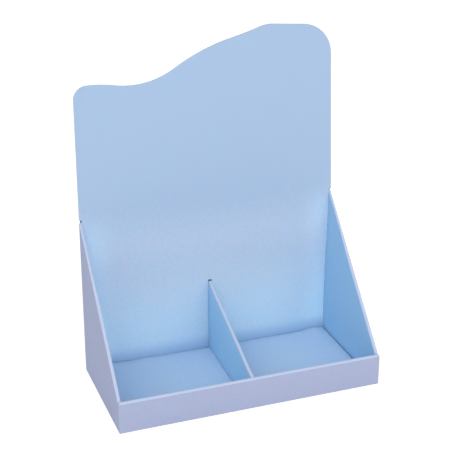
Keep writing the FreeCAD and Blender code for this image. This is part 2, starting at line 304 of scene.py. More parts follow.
def new_sheet(name, low, high, finishes):
    """Add a flat plane between two corners at one height, and start editing it."""
    clear_selection()
    centre = (Vector(low) + Vector(high)) / 2
    extent = Vector(high) - Vector(low)
    bpy.ops.mesh.primitive_plane_add(size=1, location=centre)
    piece = bpy.context.object
    piece.name = name
    piece.data.name = name
    piece.scale = (extent.x, extent.y, 1)
    bpy.ops.object.transform_apply(location=True, rotation=True, scale=True)
    finish_with(piece, *finishes)
    edit(piece)
    return piece


def bend_folds(piece, is_fold, radius=TIGHT_BEND):
    """Round the chosen fold lines of a thin sheet, by a radius in boards."""
    select_edges(piece, is_fold)
    bpy.ops.mesh.bevel(offset=sizes().board * radius, segments=BEND_FACES, affect="EDGES")


def nudge(piece, is_chosen, move, reach):
    """Push some points of a sheet, and draw those around them along."""
    select_points(piece, is_chosen)
    bpy.ops.transform.translate(
        value=move,
        use_proportional_edit=True,
        proportional_edit_falloff="SMOOTH",
        proportional_size=reach,
        use_proportional_connected=True,
    )


def thicken(piece):
    """Merge a sheet's doubled points and give it the board's thickness."""
    bpy.ops.mesh.select_all(action="SELECT")
    bpy.ops.mesh.remove_doubles(threshold=TOUCH)
    bpy.ops.mesh.normals_make_consistent(inside=False)
    leave_edit()
    board = piece.modifiers.new("board", "SOLIDIFY")
    board.thickness = sizes().board
    board.offset = 0
    board.use_even_offset = True
    board.material_offset_rim = 1
    bpy.ops.object.modifier_apply(modifier=board.name)


def soften(piece):
    """Round the sharp arrises a little, close the mesh up and shade it smoothly."""
    bevel = piece.modifiers.new("soft_arris", "BEVEL")
    bevel.width = ARRIS
    bevel.segments = ARRIS_FACES
    bevel.limit_method = "ANGLE"
    bevel.angle_limit = ARRIS_ANGLE
    bevel.use_clamp_overlap = True
    bpy.ops.object.modifier_apply(modifier=bevel.name)
    edit(piece)
    bpy.ops.mesh.select_all(action="SELECT")
    bpy.ops.mesh.remove_doubles(threshold=MERGE)
    leave_edit()
    bpy.ops.object.shade_smooth_by_angle(angle=SMOOTH_ANGLE)


def box_cutter(low, high):
    """A block between two corners, to be cut out of a piece."""
    clear_selection()
    centre = (Vector(low) + Vector(high)) / 2
    bpy.ops.mesh.primitive_cube_add(size=1, location=centre, scale=Vector(high) - Vector(low))
    return bpy.context.object


def round_cutter(radius, depth, centre):
    """A cylinder along Y, to be cut out of a piece."""
    clear_selection()
    bpy.ops.mesh.primitive_cylinder_add(
        radius=radius, depth=depth, location=centre, rotation=(math.pi / 2, 0, 0)
    )
    return bpy.context.object


def carve(piece, cutters):
    """Cut the shapes of other objects out of a piece, and delete them."""
    pick(piece)
    for cutter in cutters:
        hole = piece.modifiers.new("hole", "BOOLEAN")
        hole.operation = "DIFFERENCE"
        hole.solver = "EXACT"
        hole.object = cutter
        bpy.ops.object.modifier_apply(modifier=hole.name)
        bpy.data.objects.remove(cutter, do_unlink=True)


def finish_with(piece, *finishes):
    """Give a piece its finishes: the sheet's own first, then its cut edges', then others."""
    for finish in finishes:
        piece.data.materials.append(board_finish(finish))


def paint(piece, finish, is_chosen):
    """Put a finish on the faces whose centre and normal pass the test."""
    edit(piece)
    bpy.ops.mesh.select_mode(type="FACE")
    mesh = bmesh.from_edit_mesh(piece.data)
    for face in mesh.faces:
        face.select = is_chosen(face.calc_center_median(), face.normal)
    bmesh.update_edit_mesh(piece.data)
    piece.active_material_index = piece.data.materials.find(finish)
    bpy.ops.object.material_slot_assign()
    leave_edit()


def paint_top_folds(piece):
    """Put the lighter fold print on what looks upwards, from half the lip's height: a painted highlight,
    over some real whitening of stretched print.
    """
    middle = sizes().lip_height / 2
    paint(piece, "fold_print", lambda at, normal: normal.z > SLIGHTLY and at.z > middle)


def keep_in_box(piece):
    """Bring the corners that a thickened sheet pushes out of the solids' box back to it."""
    edit(piece)
    for axis in range(3):
        select_points(piece, lambda co: co[axis] > BODY_HIGH[axis])
        flatten(axis, BODY_HIGH[axis])
        select_points(piece, lambda co: co[axis] < BODY_LOW[axis])
        flatten(axis, BODY_LOW[axis])
    leave_edit()


def stand_for(piece, node):
    """Keep a finished piece in the solids' box, attach it to the root and hide the solid that it stands
    for.
    """
    keep_in_box(piece)
    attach(piece, ROOT)
    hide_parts(node)


class Socket:
    """A node's output, which adds Math nodes when it is used in an expression."""

    def __init__(self, shader, link):
        self.shader = shader
        self.link = link

    def _math(self, operation, *terms):
        return self.shader.node("ShaderNodeMath", {"operation": operation}, *terms)

    def __add__(self, other):
        return self._math("ADD", self, other)

    __radd__ = __add__

    def __sub__(self, other):
        return self._math("SUBTRACT", self, other)

    def __rsub__(self, other):
        return self._math("SUBTRACT", other, self)

    def __mul__(self, other):
        return self._math("MULTIPLY", self, other)

    __rmul__ = __mul__

    def __truediv__(self, other):
        return self._math("DIVIDE", self, other)

    def __abs__(self):
        return self._math("ABSOLUTE", self)

    def wave(self, pitch):
        """A wave from -1 to 1 that repeats at each pitch."""
        return self._math("SINE", self * (2 * math.pi / pitch))

    def at_most(self, limit):
        """The value, or the limit where the value is over it."""
        return self._math("MINIMUM", self, limit)


RAYS_SEEN = ("Is Camera Ray", "Is Glossy Ray", "Is Transmission Ray")


class Shader:
    """The node tree of a material or of the world, with one method that adds any node."""

    def __init__(self, owner):
        owner.use_nodes = True
        self.owner = owner
        self.tree = owner.node_tree
        self.tree.nodes.clear()

    def node(self, kind, settings, *values, output=0, **named):
        """Add a node: its settings first, then its sockets by place or by name."""
        made = self.tree.nodes.new(kind)
        for key, value in settings.items():
            setattr(made, key, value)
        sockets = list(zip(made.inputs, values))
        sockets += [(made.inputs[key.replace("_", " ")], value) for key, value in named.items()]
        for socket, value in sockets:
            if isinstance(value, Socket):
                self.tree.links.new(value.link, socket)
            elif value is not None:
                socket.default_value = value
        return Socket(self, made.outputs[output]) if len(made.outputs) else made

    def place(self):
        """Object coordinates of the surface, in metres."""
        return self.node("ShaderNodeTexCoord", {}, output="Object")

    def parts(self, vector):
        """The X, Y and Z of a vector."""
        return [self.node("ShaderNodeSeparateXYZ", {}, vector, output=n) for n in range(3)]

    def noise(self, place, scale, detail=3.0):
        """Even noise from 0 to 1 at a scale in waves per metre."""
        return self.node("ShaderNodeTexNoise", {}, place, Scale=scale, Detail=detail)

    def step(self, value, low, high):
        """A soft mask from 0 at low to 1 at high."""
        settings = {"interpolation_type": "SMOOTHSTEP"}
        return self.node("ShaderNodeMapRange", settings, value, low, high, 0.0, 1.0)

    def seen(self):
        """1 where the camera looks, straight or by a mirror or through glass."""
        straight, mirrored, through = [
            self.node("ShaderNodeLightPath", {}, output=kind) for kind in RAYS_SEEN
        ]
        return (straight + mirrored + through).at_most(1.0)

    def mix(self, mask, first, second, blend="MIX"):
        """Mix two colours by a mask. The node's sockets for numbers and vectors go unused."""
        settings = {"data_type": "RGBA", "blend_type": blend}
        unused = [None] * 5
        return self.node("ShaderNodeMix", settings, mask, *unused, first, second, output=2)

    def bump(self, height, strength, depth):
        """A surface direction that follows a relief as deep as the depth."""
        return self.node("ShaderNodeBump", {}, Strength=strength, Distance=depth, Height=height)

    def board(self, colour, roughness, bump):
        """Close the material as matt board."""
        surface = self.node(
            "ShaderNodeBsdfPrincipled",
            {},
            Base_Color=colour,
            Roughness=roughness,
            Normal=bump,
            Specular_IOR_Level=BOARD_SHEEN,
        )
        return self.finish(surface)

    def finish(self, surface, kind="ShaderNodeOutputMaterial"):
        """Link the surface to the output, and give back the material or world."""
        self.node(kind, {}, surface)
        return self.owner


def opaque(colour, tint=(1, 1, 1)):
    """A colour with full alpha, tinted if asked."""
    return (*[channel * part for channel, part in zip(colour, tint)], 1.0)


# Tints of the print: the two tones of its mottling, the cloud over it, and painted light and shade on the
# back.
COOL = (0.9, 0.985, 1.015)
WARM = (1.1, 1.015, 0.98)
DARKER = (0.98, 0.98, 0.985)
BESIDE_PAINTED_LIGHT = (1.17, 1.19, 1.15)
FOOT_PAINTED_SHADE = (0.52, 0.62, 0.8)

# Fineness of the print's spots, its cloud and the paper's fibre, in waves per metre.
SPOTS = 330.0
CLOUD = 34.0
PRINT_FIBRE = 1500.0
EDGE_FIBRE = 1400.0

# Limits between which the spots' noise turns from cool to warm.
SPOT_LIMITS = (0.36, 0.64)

# Shares of the spots and of the cloud in the mottling, and the share that the header loses.
SPOT_SHARE = 0.7
CLOUD_SHARE = 0.6
CALMED_SHARE = 0.6

# Height of each in the print's relief, as a share of the relief's depth.
FIBRE_HEIGHT = 0.3
FLUTE_HEIGHT = 0.03
CLOUD_HEIGHT = 0.4
MOTTLE_HEIGHT = 0.12

# Heights over which a change comes in: the header's calm, and each lower colour of the back, lightened as
# painted light.
CALM_LEVEL = (150 * MM, 185 * MM)
MIDDLE_LEVEL = (165 * MM, 115 * MM)
LOW_LEVEL = (105 * MM, 20 * MM)

# Painted light on the back near the tops of the side walls, against their shade, and painted shade just
# over the inner floor.
BESIDE_ACROSS = (88 * MM, 122 * MM)
BESIDE_LEVEL = (165 * MM, 130 * MM)
FOOT_SHADE_LEVEL = (20 * MM, 2 * MM)
FOOT_SHADE_SHARE = 0.75

# Pitch of the flutes, where they show through the print and where the header's edge cuts them.
HIDDEN_FLUTES = 2.3 * MM
CUT_FLUTES = 3.2 * MM

# The core in half boards: its wave's swing, and where its hollow starts and ends.
FLUTE_SWING = 0.5
HOLLOW_FROM_WAVE = (0.2, 0.4)
HOLLOW_TO_LINER = (0.66, 0.8)

# Tints of the cut edges: the paper's darker and lighter fibres, and painted shade in the hollow of the
# flutes.
FLUTED_PAPER = ((0.92, 0.92, 0.93), (1.05, 1.05, 1.04))
PRESSED_PAPER = ((0.9, 0.9, 0.92), (1.06, 1.06, 1.05))
FLUTE_HOLLOW_SHADE = (0.62, 0.62, 0.68)

# Strength and depth of each relief.
PRINT_RELIEF = (0.22, 0.15 * MM)
FLUTED_RELIEF = (0.4, 0.2 * MM)
PRESSED_RELIEF = (0.3, 0.1 * MM)

# Sheen and roughness of the board, and what the cloud and the fibre add to its roughness.
BOARD_SHEEN = 0.25
PRINT_ROUGHNESS = 0.74
CLOUD_ROUGHNESS = 0.12
EDGE_ROUGHNESS = 0.85
FIBRE_ROUGHNESS = 0.05


def paint_back_light_and_shade(shader, tones, across, height):
    """Take the header's two tones down the back panel through its lightened lower colours, with painted
    light and shade.
    """
    middle_colour, low_colour = colours().back_middle_painted_light, colours().back_low_painted_light
    for colour, limits in ((middle_colour, MIDDLE_LEVEL), (low_colour, LOW_LEVEL)):
        level = shader.step(height, *limits)
        tones = [
            shader.mix(level, tone, opaque(colour, tint)) for tone, tint in zip(tones, (COOL, WARM))
        ]
    beside = shader.step(abs(across), *BESIDE_ACROSS) * shader.step(height, *BESIDE_LEVEL)
    foot = FOOT_SHADE_SHARE * shader.step(height, *FOOT_SHADE_LEVEL)
    # Painted light beside the walls' tops, and painted shade at the back's foot over the inner floor.
    tones = [shader.mix(beside, tone, opaque(BESIDE_PAINTED_LIGHT), "MULTIPLY") for tone in tones]
    return [shader.mix(foot, tone, opaque(low_colour, FOOT_PAINTED_SHADE)) for tone in tones]


def printed_board(name, colour, mottling, is_back=False):
    """Matt print on paper: fine cool and warm mottling, fibre, and flutes that just show; on the back,
    painted light and shade.
    """
    shader = Shader(bpy.data.materials.new(name))
    place = shader.place()
    across, _, height = shader.parts(place)
    spots = shader.step(shader.noise(place, SPOTS, 2.0), *SPOT_LIMITS)
    cloud = shader.noise(place, CLOUD)
    fibre = shader.noise(place, PRINT_FIBRE)
    calm = shader.step(height, *CALM_LEVEL)
    uneven = SPOT_SHARE * spots + CLOUD_SHARE * cloud - (SPOT_SHARE + CLOUD_SHARE) / 2
    mottle = 0.5 + uneven * (mottling * (1 - CALMED_SHARE * calm))
    tones = [opaque(colour, COOL), opaque(colour, WARM)]
    if is_back:
        tones = paint_back_light_and_shade(shader, tones, across, height)
    tone = shader.mix(mottle, *tones)
    tone = shader.mix(cloud, tone, opaque(DARKER), "MULTIPLY")
    relief = FIBRE_HEIGHT * fibre + FLUTE_HEIGHT * across.wave(HIDDEN_FLUTES)
    relief = relief + CLOUD_HEIGHT * cloud + MOTTLE_HEIGHT * mottle
    bump = shader.bump(relief, *PRINT_RELIEF)
    return shader.board(tone, PRINT_ROUGHNESS + CLOUD_ROUGHNESS * cloud, bump)


def fluted_edge(name, colour):
    """Cut edge of the back panel: two liners with a paper wave between them, and painted shade in the
    hollows.
    """
    shader = Shader(bpy.data.materials.new(name))
    place = shader.place()
    across, through, _ = shader.parts(place)
    half_board = sizes().board / 2
    level = (through - (BODY_HIGH.y - half_board)) / half_board
    from_wave = abs(level - FLUTE_SWING * across.wave(CUT_FLUTES))
    hollow = shader.step(from_wave, *HOLLOW_FROM_WAVE)
    hollow = hollow * (1 - shader.step(abs(level), *HOLLOW_TO_LINER))
    fibre = shader.noise(place, EDGE_FIBRE)
    paper = shader.mix(fibre, *[opaque(colour, tint) for tint in FLUTED_PAPER])
    # Painted shade in the flutes' hollows; the same mask also sinks them in the bump.
    tone = shader.mix(hollow, paper, opaque(colour, FLUTE_HOLLOW_SHADE))
    bump = shader.bump(fibre - hollow, *FLUTED_RELIEF)
    return shader.board(tone, EDGE_ROUGHNESS + FIBRE_ROUGHNESS * fibre, bump)


def plain_edge(name, colour):
    """Cut edge across the other panels: pressed paper, which in the slot colour is the painted shade in
    slots and holes.
    """
    shader = Shader(bpy.data.materials.new(name))
    fibre = shader.noise(shader.place(), EDGE_FIBRE)
    tone = shader.mix(fibre, *[opaque(colour, tint) for tint in PRESSED_PAPER])
    bump = shader.bump(fibre, *PRESSED_RELIEF)
    return shader.board(tone, EDGE_ROUGHNESS + FIBRE_ROUGHNESS * fibre, bump)


FINISHES = {
    "back_print": lambda name: printed_board(name, colours().header, mottling=0.9, is_back=True),
    "outside_print": lambda name: printed_board(name, colours().outside, mottling=0.55),
    "fold_print": lambda name: printed_board(name, colours().fold, mottling=0.4),
    "wall_print": lambda name: printed_board(name, colours().wall, mottling=0.7),
    "divider_print": lambda name: printed_board(name, colours().divider, mottling=0.7),
    "floor_print": lambda name: printed_board(name, colours().floor, mottling=0.8),
    "back_edge": lambda name: fluted_edge(name, colours().core),
    "cut_edge": lambda name: plain_edge(name, colours().core),
    # Painted shade: the pressed-paper edge in near black, for slots, relief holes and the floor under the
    # divider.
    "slot_shade": lambda name: plain_edge(name, colours().shade),
}


def board_finish(name):
    """One finish of the board, made when it is first asked for."""
    return bpy.data.materials.get(name) or FINISHES[name](name)


# Rows of the back panel's grid under and over the slits, and spacing along the header's edge.
PANEL_ROWS = 30
HEADER_ROWS = 36
CREST_STEP = 4 * MM
HEADER_FOOT_GAP = 0.1 * MM

# Patch in the middle of the header that is pushed forward, and how far around it follows.
BOW_HEIGHT = 215 * MM
BOW_PATCH = 20 * MM
BOW_REACH = 95 * MM

# Front and rear of the web left in the slot's spare end and in the relief holes, in boards
# behind the board's middle: a sheet that carries painted shade where the real board is open.
WEB_FRONT = 0.15
WEB_REAR = 0.35

# Depth from each face of the board, in boards, at which the painted shade in a hole starts.
SHADE_DEPTH = 0.1


def header_edge():
    """The header's top edge from the solid: points from its left side to its right side."""
    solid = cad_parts["display_body"].data
    lowest = slit_top() + RIM
    rear_points = [vertex.co for vertex in solid.vertices if near(vertex.co.y, BODY_HIGH.y)]
    outline = {
        (round(co.x, MICROMETRE_DIGITS), round(co.z, MICROMETRE_DIGITS))
        for co in rear_points
        if co.z > lowest
    }
    edge = [Vector((x, 0, z)) for x, z in sorted(outline)]
    dense = [edge[0]]
    for point in edge[1:]:
        start = dense[-1]
        count = math.ceil((point - start).length / CREST_STEP)
        dense += [start.lerp(point, step / count) for step in range(1, count + 1)]
    return dense


class STAND_OT_back_panel(bpy.types.Operator):
    """Back panel with its wavy header, relief holes and the slot for the divider's tab."""

    bl_idname = "stand.back_panel"
    bl_label = "Back panel and header"

    def execute(self, context):
        piece = self.lay_grid()
        self.fold_foot_and_bow(piece)
        carve(piece, self.hole_cutters())
        soften(piece)
        self.print_panel(piece)
        stand_for(piece, "display_body")
        return {"FINISHED"}

    def lay_grid(self):
        """A grid whose lower rows fill the panel and whose upper rows fill the header."""
        crest = header_edge()
        columns = len(crest) - 1
        rows = PANEL_ROWS + HEADER_ROWS
        clear_selection()
        bpy.ops.mesh.primitive_grid_add(
            x_subdivisions=columns, y_subdivisions=rows, size=2, location=(0, 0, 0)
        )
        piece = bpy.context.object
        piece.name = "back_panel"
        piece.data.name = "back_panel"
        finish_with(piece, "back_print", "back_edge", "outside_print", "slot_shade")
        span = crest[-1].x - crest[0].x
        for vertex in piece.data.vertices:
            top = crest[round((vertex.co.x + 1) / 2 * columns)]
            row = round((vertex.co.y + 1) / 2 * rows)
            share = (top.x - crest[0].x) / span
            if row < PANEL_ROWS:
                place = self.panel_point(share, row)
            else:
                place = self.header_point(share, row, top)
            vertex.co = (place.x, BODY_HIGH.y - sizes().board / 2, place.z)
        return piece

    def panel_point(self, share, row):
        """A point between the side walls, at a share of the width and in a row of the grid."""
        foot = sizes().board / 2
        height = foot + (slit_top() - foot) * row / (PANEL_ROWS - 1)
        return Vector(((2 * share - 1) * panel_side(), 0, height))

    def header_point(self, share, row, top):
        """A point on the way up from the header's straight foot to a point of its top edge."""
        across = BODY_LOW.x + share * (BODY_HIGH.x - BODY_LOW.x)
        foot = Vector((across, 0, slit_top() + HEADER_FOOT_GAP))
        return foot.lerp(top, (row - PANEL_ROWS) / HEADER_ROWS)

    def fold_foot_and_bow(self, piece):
        """Turn the foot under towards the base, bow the header and make it board."""
        size = sizes()
        rear = BODY_HIGH.y - size.board / 2
        edit(piece)
        select_edges(piece, lambda co: near(co.z, size.board / 2))
        extrude(0, -size.board, 0)
        bend_folds(piece, lambda co: near(co.z, size.board / 2) and near(co.y, rear))
        nudge(
            piece,
            lambda co: abs(co.x) < BOW_PATCH and abs(co.z - BOW_HEIGHT) < BOW_PATCH,
            (0, -size.panel_bow, 0),
            BOW_REACH,
        )
        thicken(piece)

    def hole_cutters(self):
        """Cutters for the tab's slot, and for what is sunk on both sides of the web around it."""
        size = sizes()
        half = DIVIDER_HIGH.x + size.slot_gap
        middle = BODY_HIGH.y - size.board / 2
        reach = 2 * size.board
        foot = size.tab_low - size.slot_gap
        spare_top = slot_tab_top() + size.slot_spare
        front, rear = middle + WEB_FRONT * size.board, middle + WEB_REAR * size.board
        cutters = [box_cutter((-half, middle - reach, foot), (half, middle + reach, slot_tab_top()))]
        for low, high, spare_foot in (
            (front - reach, front, DIVIDER_HIGH.z - 2 * size.slot_gap),
            (rear, rear + reach, slot_tab_top() - TOUCH),
        ):
            cutters.append(box_cutter((-half, low, spare_foot), (half, high, spare_top)))
            for hand in (-1, 1):
                centre = (hand * panel_side(), (low + high) / 2, hole_height())
                cutters.append(round_cutter(size.notch_round, high - low, centre))
        return cutters

    def print_panel(self, piece):
        """Outside print with its painted shade behind, and painted shade inside the slot and the relief
        holes.
        """
        size = sizes()
        half = DIVIDER_HIGH.x + size.slot_gap
        hole_reach = size.notch_round + TOUCH
        depth = SHADE_DEPTH * size.board
        front, rear = BODY_HIGH.y - size.board + depth, BODY_HIGH.y - depth
        low, high = slot_tab_top() + TOUCH, slot_tab_top() + size.slot_spare + TOUCH

        def in_hole(at, normal):
            in_slot = abs(at.x) < half + TOUCH and low < at.z < high
            from_hole = max(abs(abs(at.x) - panel_side()), abs(at.z - hole_height()))
            return front < at.y < rear and (in_slot or from_hole < hole_reach)

        paint(piece, "outside_print", lambda at, normal: normal.y > SQUARELY)
        paint(piece, "slot_shade", in_hole)


# The base starts this many boards in from the tray's outside, where the lip's foot ends.
BASE_INSET = 1.5

# Strip of floor behind the lip that isn't split, so that the fold beside it has room.
FOLD_STRIP = 4 * MM

# Reach of the curl at the inner floor's left back corner.
CURL_REACH = 52 * MM

# Two small lifts of the floor's back edge: each one's place along X and share of the curl.
EDGE_LIFTS = ((-70 * MM, 0.35), (112 * MM, 0.75))
EDGE_LIFT_PATCH = 3.1 * MM
EDGE_LIFT_REACH = 16 * MM

# Length of floor behind the lip that is narrower, and how far back it widens out.
NARROW_LENGTH = 26 * MM
NARROW_REACH = 75 * MM

# Rear end of the strip of floor under the divider that is painted with shade.
STRIP_END = 40 * MM


def lip_inner_face():
    """Middle of the board of the lip's inner layer, along Y."""
    return lip_back() - sizes().board / 2


def floor_level():
    """Height of the middle of the inner floor's board."""
    return 2 * sizes().board + sizes().floor_lift - sizes().board / 2


def floor_end():
    """Where the inner floor ends, along Y."""
    return BODY_HIGH.y - sizes().board - sizes().floor_margin


def floor_side():
    """Half the width of the inner floor."""
    return BODY_HIGH.x - wall_thickness() - sizes().side_margin


class STAND_OT_tray(bpy.types.Operator):
    """Base, front lip with its roll-over, and the inner floor that follows it."""

    bl_idname = "stand.tray"
    bl_label = "Base, lip and inner floor"

    def execute(self, context):
        self.lay_base()
        lip = self.fold_lip()
        self.settle_floor(lip)
        thicken(lip)
        soften(lip)
        self.print_lip(lip)
        stand_for(lip, "display_body")
        return {"FINISHED"}

    def lay_base(self):
        """The flat base, inside the folds around it."""
        inset = BASE_INSET * sizes().board
        height = sizes().board / 2
        base = new_sheet(
            "base_panel",
            (BODY_LOW.x + inset, BODY_LOW.y + inset, height),
            (BODY_HIGH.x - inset, BODY_HIGH.y - inset, height),
            ("outside_print", "cut_edge", "wall_print"),
        )
        thicken(base)
        soften(base)
        # The base's hidden top, seen only through the gaps beside the floor, gets the pocket print with
        # its painted light and shade.
        paint(base, "wall_print", lambda at, normal: normal.z > SQUARELY)
        stand_for(base, "display_body")

    def fold_lip(self):
        """The sheet that goes up the lip, over its top, down inside and back as the floor."""
        size = sizes()
        half_board = size.board / 2
        side = BODY_HIGH.x
        outer_face = BODY_LOW.y + half_board
        inner_face = lip_inner_face()
        lip_top = size.lip_height - half_board
        inner_top = lip_top + size.lip_rise
        lip = new_sheet(
            "lip_and_floor",
            (-side, outer_face, half_board),
            (side, BODY_LOW.y + BASE_INSET * size.board, half_board),
            ("outside_print", "cut_edge", "floor_print", "fold_print", "wall_print", "slot_shade"),
        )
        for edge in (-floor_side(), floor_side()):
            cut((edge, 0, 0), (1, 0, 0))
        select_edges(lip, lambda co: near(co.y, outer_face))
        extrude(0, 0, lip_top - half_board)
        extrude(0, wall_thickness() - size.board, size.lip_rise)
        between_walls = floor_side() + TOUCH
        select_edges(
            lip,
            lambda co: near(co.y, inner_face) and near(co.z, inner_top) and abs(co.x) < between_walls,
        )
        extrude(0, 0, floor_level() - inner_top)
        select_points(lip, lambda co: near(co.y, inner_face) and near(abs(co.x), side))
        bpy.ops.transform.translate(value=(0, 0, -size.lip_rise))
        select_edges(lip, lambda co: near(co.y, inner_face) and near(co.z, floor_level()))
        extrude(0, floor_end() - inner_face, 0)
        for edge in (-size.board, size.board):
            cut((edge, 0, 0), (1, 0, 0))
        cut_evenly(0, -floor_side(), floor_side(), FINE_STRIP)
        cut_evenly(1, inner_face + FOLD_STRIP, floor_end(), FINE_STRIP)
        for y, z, radius in (
            (outer_face, half_board, BASE_BEND),
            (outer_face, lip_top, LIP_BEND),
            (inner_face, inner_top, LIP_BEND),
            (inner_face, floor_level(), TIGHT_BEND),
        ):
            bend_folds(lip, lambda co: near(co.y, y) and near(co.z, z), radius)
        return lip

    def settle_floor(self, lip):
        """Curl the floor's back edge and draw its sides in near the lip."""
        size = sizes()
        behind = floor_end() - RIM
        nudge(
            lip,
            lambda co: co.x < -floor_side() + RIM and co.y > behind,
            (0, 0, size.floor_curl),
            CURL_REACH,
        )
        for across, share in EDGE_LIFTS:
            nudge(
                lip,
                lambda co: abs(co.x - across) < EDGE_LIFT_PATCH and co.y > behind,
                (0, 0, share * size.floor_curl),
                EDGE_LIFT_REACH,
            )
        narrow_end = lip_inner_face() + NARROW_LENGTH
        for hand in (-1, 1):
            nudge(
                lip,
                lambda co: hand * co.x > floor_side() - RIM
                and near(co.z, floor_level())
                and co.y < narrow_end,
                (-hand * size.floor_gap, 0, 0),
                NARROW_REACH,
            )

    def print_lip(self, lip):
        """Pocket prints with their painted light and shade on the lip's inside and the floor, fold print
        with its painted highlight on top, painted shade under the divider.
        """
        size = sizes()
        pocket_foot = floor_level() + size.board
        inner_face = lip_inner_face()
        middle = size.lip_height / 2
        paint(lip, "wall_print", lambda at, normal: normal.y > MAINLY and at.z > pocket_foot)
        paint(
            lip,
            "floor_print",
            lambda at, normal: normal.z > SQUARELY and at.z < middle and at.y > inner_face,
        )
        paint_top_folds(lip)
        paint(
            lip,
            "slot_shade",
            lambda at, normal: normal.z > SQUARELY
            and at.z < middle
            and abs(at.x) < size.board
            and inner_face < at.y < STRIP_END,
        )


# Reach of the spread of a wall's inner foot.
SPREAD_REACH = 35 * MM

# Rear end of a wall's top that is pressed flat: its length and depth, and how far that reaches.
PINCH_LENGTH = 9 * MM
PINCH_DEPTH = 16 * MM
PINCH_REACH = 75 * MM

# A wall's inner layer stops this far over the base's board and its layer gap.
INNER_FOOT_GAP = 0.1 * MM

# Depth from the outside, in boards, at which the pocket's print with its painted light and shade starts.
POCKET_PRINT_DEPTH = 1.3


class STAND_OT_side_walls(bpy.types.Operator):
    """Both side walls, each folded up, over its slanted top and down inside."""

    bl_idname = "stand.side_walls"
    bl_label = "Side walls"

    def execute(self, context):
        for name, hand in (("left_wall", -1), ("right_wall", 1)):
            wall = self.fold_wall(name, hand)
            self.settle_wall(wall, hand)
            thicken(wall)
            soften(wall)
            pocket_face = BODY_HIGH.x - POCKET_PRINT_DEPTH * sizes().board
            paint(
                wall,
                "wall_print",
                lambda at, normal: hand * normal.x < -SQUARELY and hand * at.x < pocket_face,
            )
            paint_top_folds(wall)
            stand_for(wall, "display_body")
        return {"FINISHED"}

    def layers(self, hand):
        """Middle of the board of a wall's outer and inner layer, along X."""
        half_board = sizes().board / 2
        return (
            hand * (BODY_HIGH.x - half_board),
            hand * (BODY_HIGH.x - wall_thickness() + half_board),
        )

    def inner_foot(self):
        """Height at which a wall's inner layer ends."""
        return sizes().board + sizes().layer_gap + INNER_FOOT_GAP

    def inner_end(self):
        """Where a wall's inner layer ends at the back, along Y."""
        return BODY_HIGH.y - sizes().board - sizes().layer_gap

    def fold_wall(self, name, hand):
        """The sheet that goes up one side, over the slanted top and down inside."""
        size = sizes()
        half_board = size.board / 2
        outer, inner = self.layers(hand)
        foot_inner = outer - hand * size.board
        start = BODY_LOW.y + size.board + size.layer_gap
        top_start = lip_back() + size.layer_gap
        rear = BODY_HIGH.y
        wall = new_sheet(
            name,
            (min(outer, foot_inner), start, half_board),
            (max(outer, foot_inner), rear, half_board),
            ("outside_print", "cut_edge", "wall_print", "fold_print"),
        )
        cut((0, top_start, 0), (0, 1, 0))
        select_edges(wall, lambda co: near(co.x, outer))
        under_lip = size.lip_height - size.board - size.lip_relief
        extrude(0, 0, under_lip - half_board)
        select_edges(wall, lambda co: near(co.z, under_lip) and co.y > top_start - TOUCH)
        drop = half_board * math.sqrt(1 + wall_slope() ** 2)
        extrude(0, 0, wall_top(top_start) - drop - under_lip)
        select_points(wall, lambda co: co.z > under_lip + TOUCH and near(co.y, rear))
        bpy.ops.transform.translate(value=(0, 0, wall_top(rear) - wall_top(top_start)))
        select_edges(wall, lambda co: near(co.x, outer) and co.z > under_lip + TOUCH)
        extrude(inner - outer, 0, 0)
        back = self.inner_end() - rear
        select_points(wall, lambda co: near(co.x, inner) and near(co.y, rear))
        bpy.ops.transform.translate(value=(0, back, back * wall_slope()))
        select_edges(wall, lambda co: near(co.x, inner))
        extrude(0, 0, -size.lip_height / 2)
        flatten(2, self.inner_foot())
        cut_evenly(1, top_start, self.inner_end(), FINE_STRIP)
        for layer in (outer, inner):
            bend_folds(wall, lambda co: near(co.x, layer) and near(co.z, wall_top(co.y) - drop))
        bend_folds(wall, lambda co: near(co.x, outer) and near(co.z, half_board))
        cut_evenly(2, self.inner_foot(), wall_top(rear), WIDE_STRIP)
        return wall

    def settle_wall(self, wall, hand):
        """Spread the inner layer's foot and press its rear top flat, with the outer layer hidden."""
        size = sizes()
        foot = self.inner_foot()
        end = self.inner_end()
        outer, inner = self.layers(hand)
        middle = (outer + inner) / 2
        select_points(wall, lambda co: hand * (co.x - middle) > 0 or co.z < foot - TOUCH)
        bpy.ops.mesh.hide(unselected=False)
        nudge(
            wall,
            lambda co: co.z < foot + RIM,
            (hand * size.side_spread, 0, 0),
            SPREAD_REACH,
        )
        nudge(
            wall,
            lambda co: co.y > end - PINCH_LENGTH and co.z > wall_top(end) - PINCH_DEPTH,
            (hand * size.side_pinch, 0, 0),
            PINCH_REACH,
        )
        bpy.ops.mesh.reveal(select=False)


# Play between the divider's ends and the panels that they stand against.
END_PLAY = 0.2 * MM

# Front part of the divider's foot that lifts and spreads, and how far each reaches.
FRONT_FOOT_END = 14 * MM
FOOT_LIFT_REACH = 30 * MM
FOOT_SPREAD_REACH = 44 * MM

# Reach of the gap at the divider's lower back end.
REAR_FOOT_REACH = 26 * MM

# Upper back corner that strays upwards: its length and depth, and how far that reaches.
REAR_TOP_LENGTH = 4 * MM
REAR_TOP_DEPTH = 2 * MM
REAR_TOP_REACH = 20 * MM

# Front end of the top fold that flares: its length and depth, and how far that reaches.
FLARE_LENGTH = 2 * MM
FLARE_DEPTH = 3 * MM
FLARE_REACH = 9 * MM


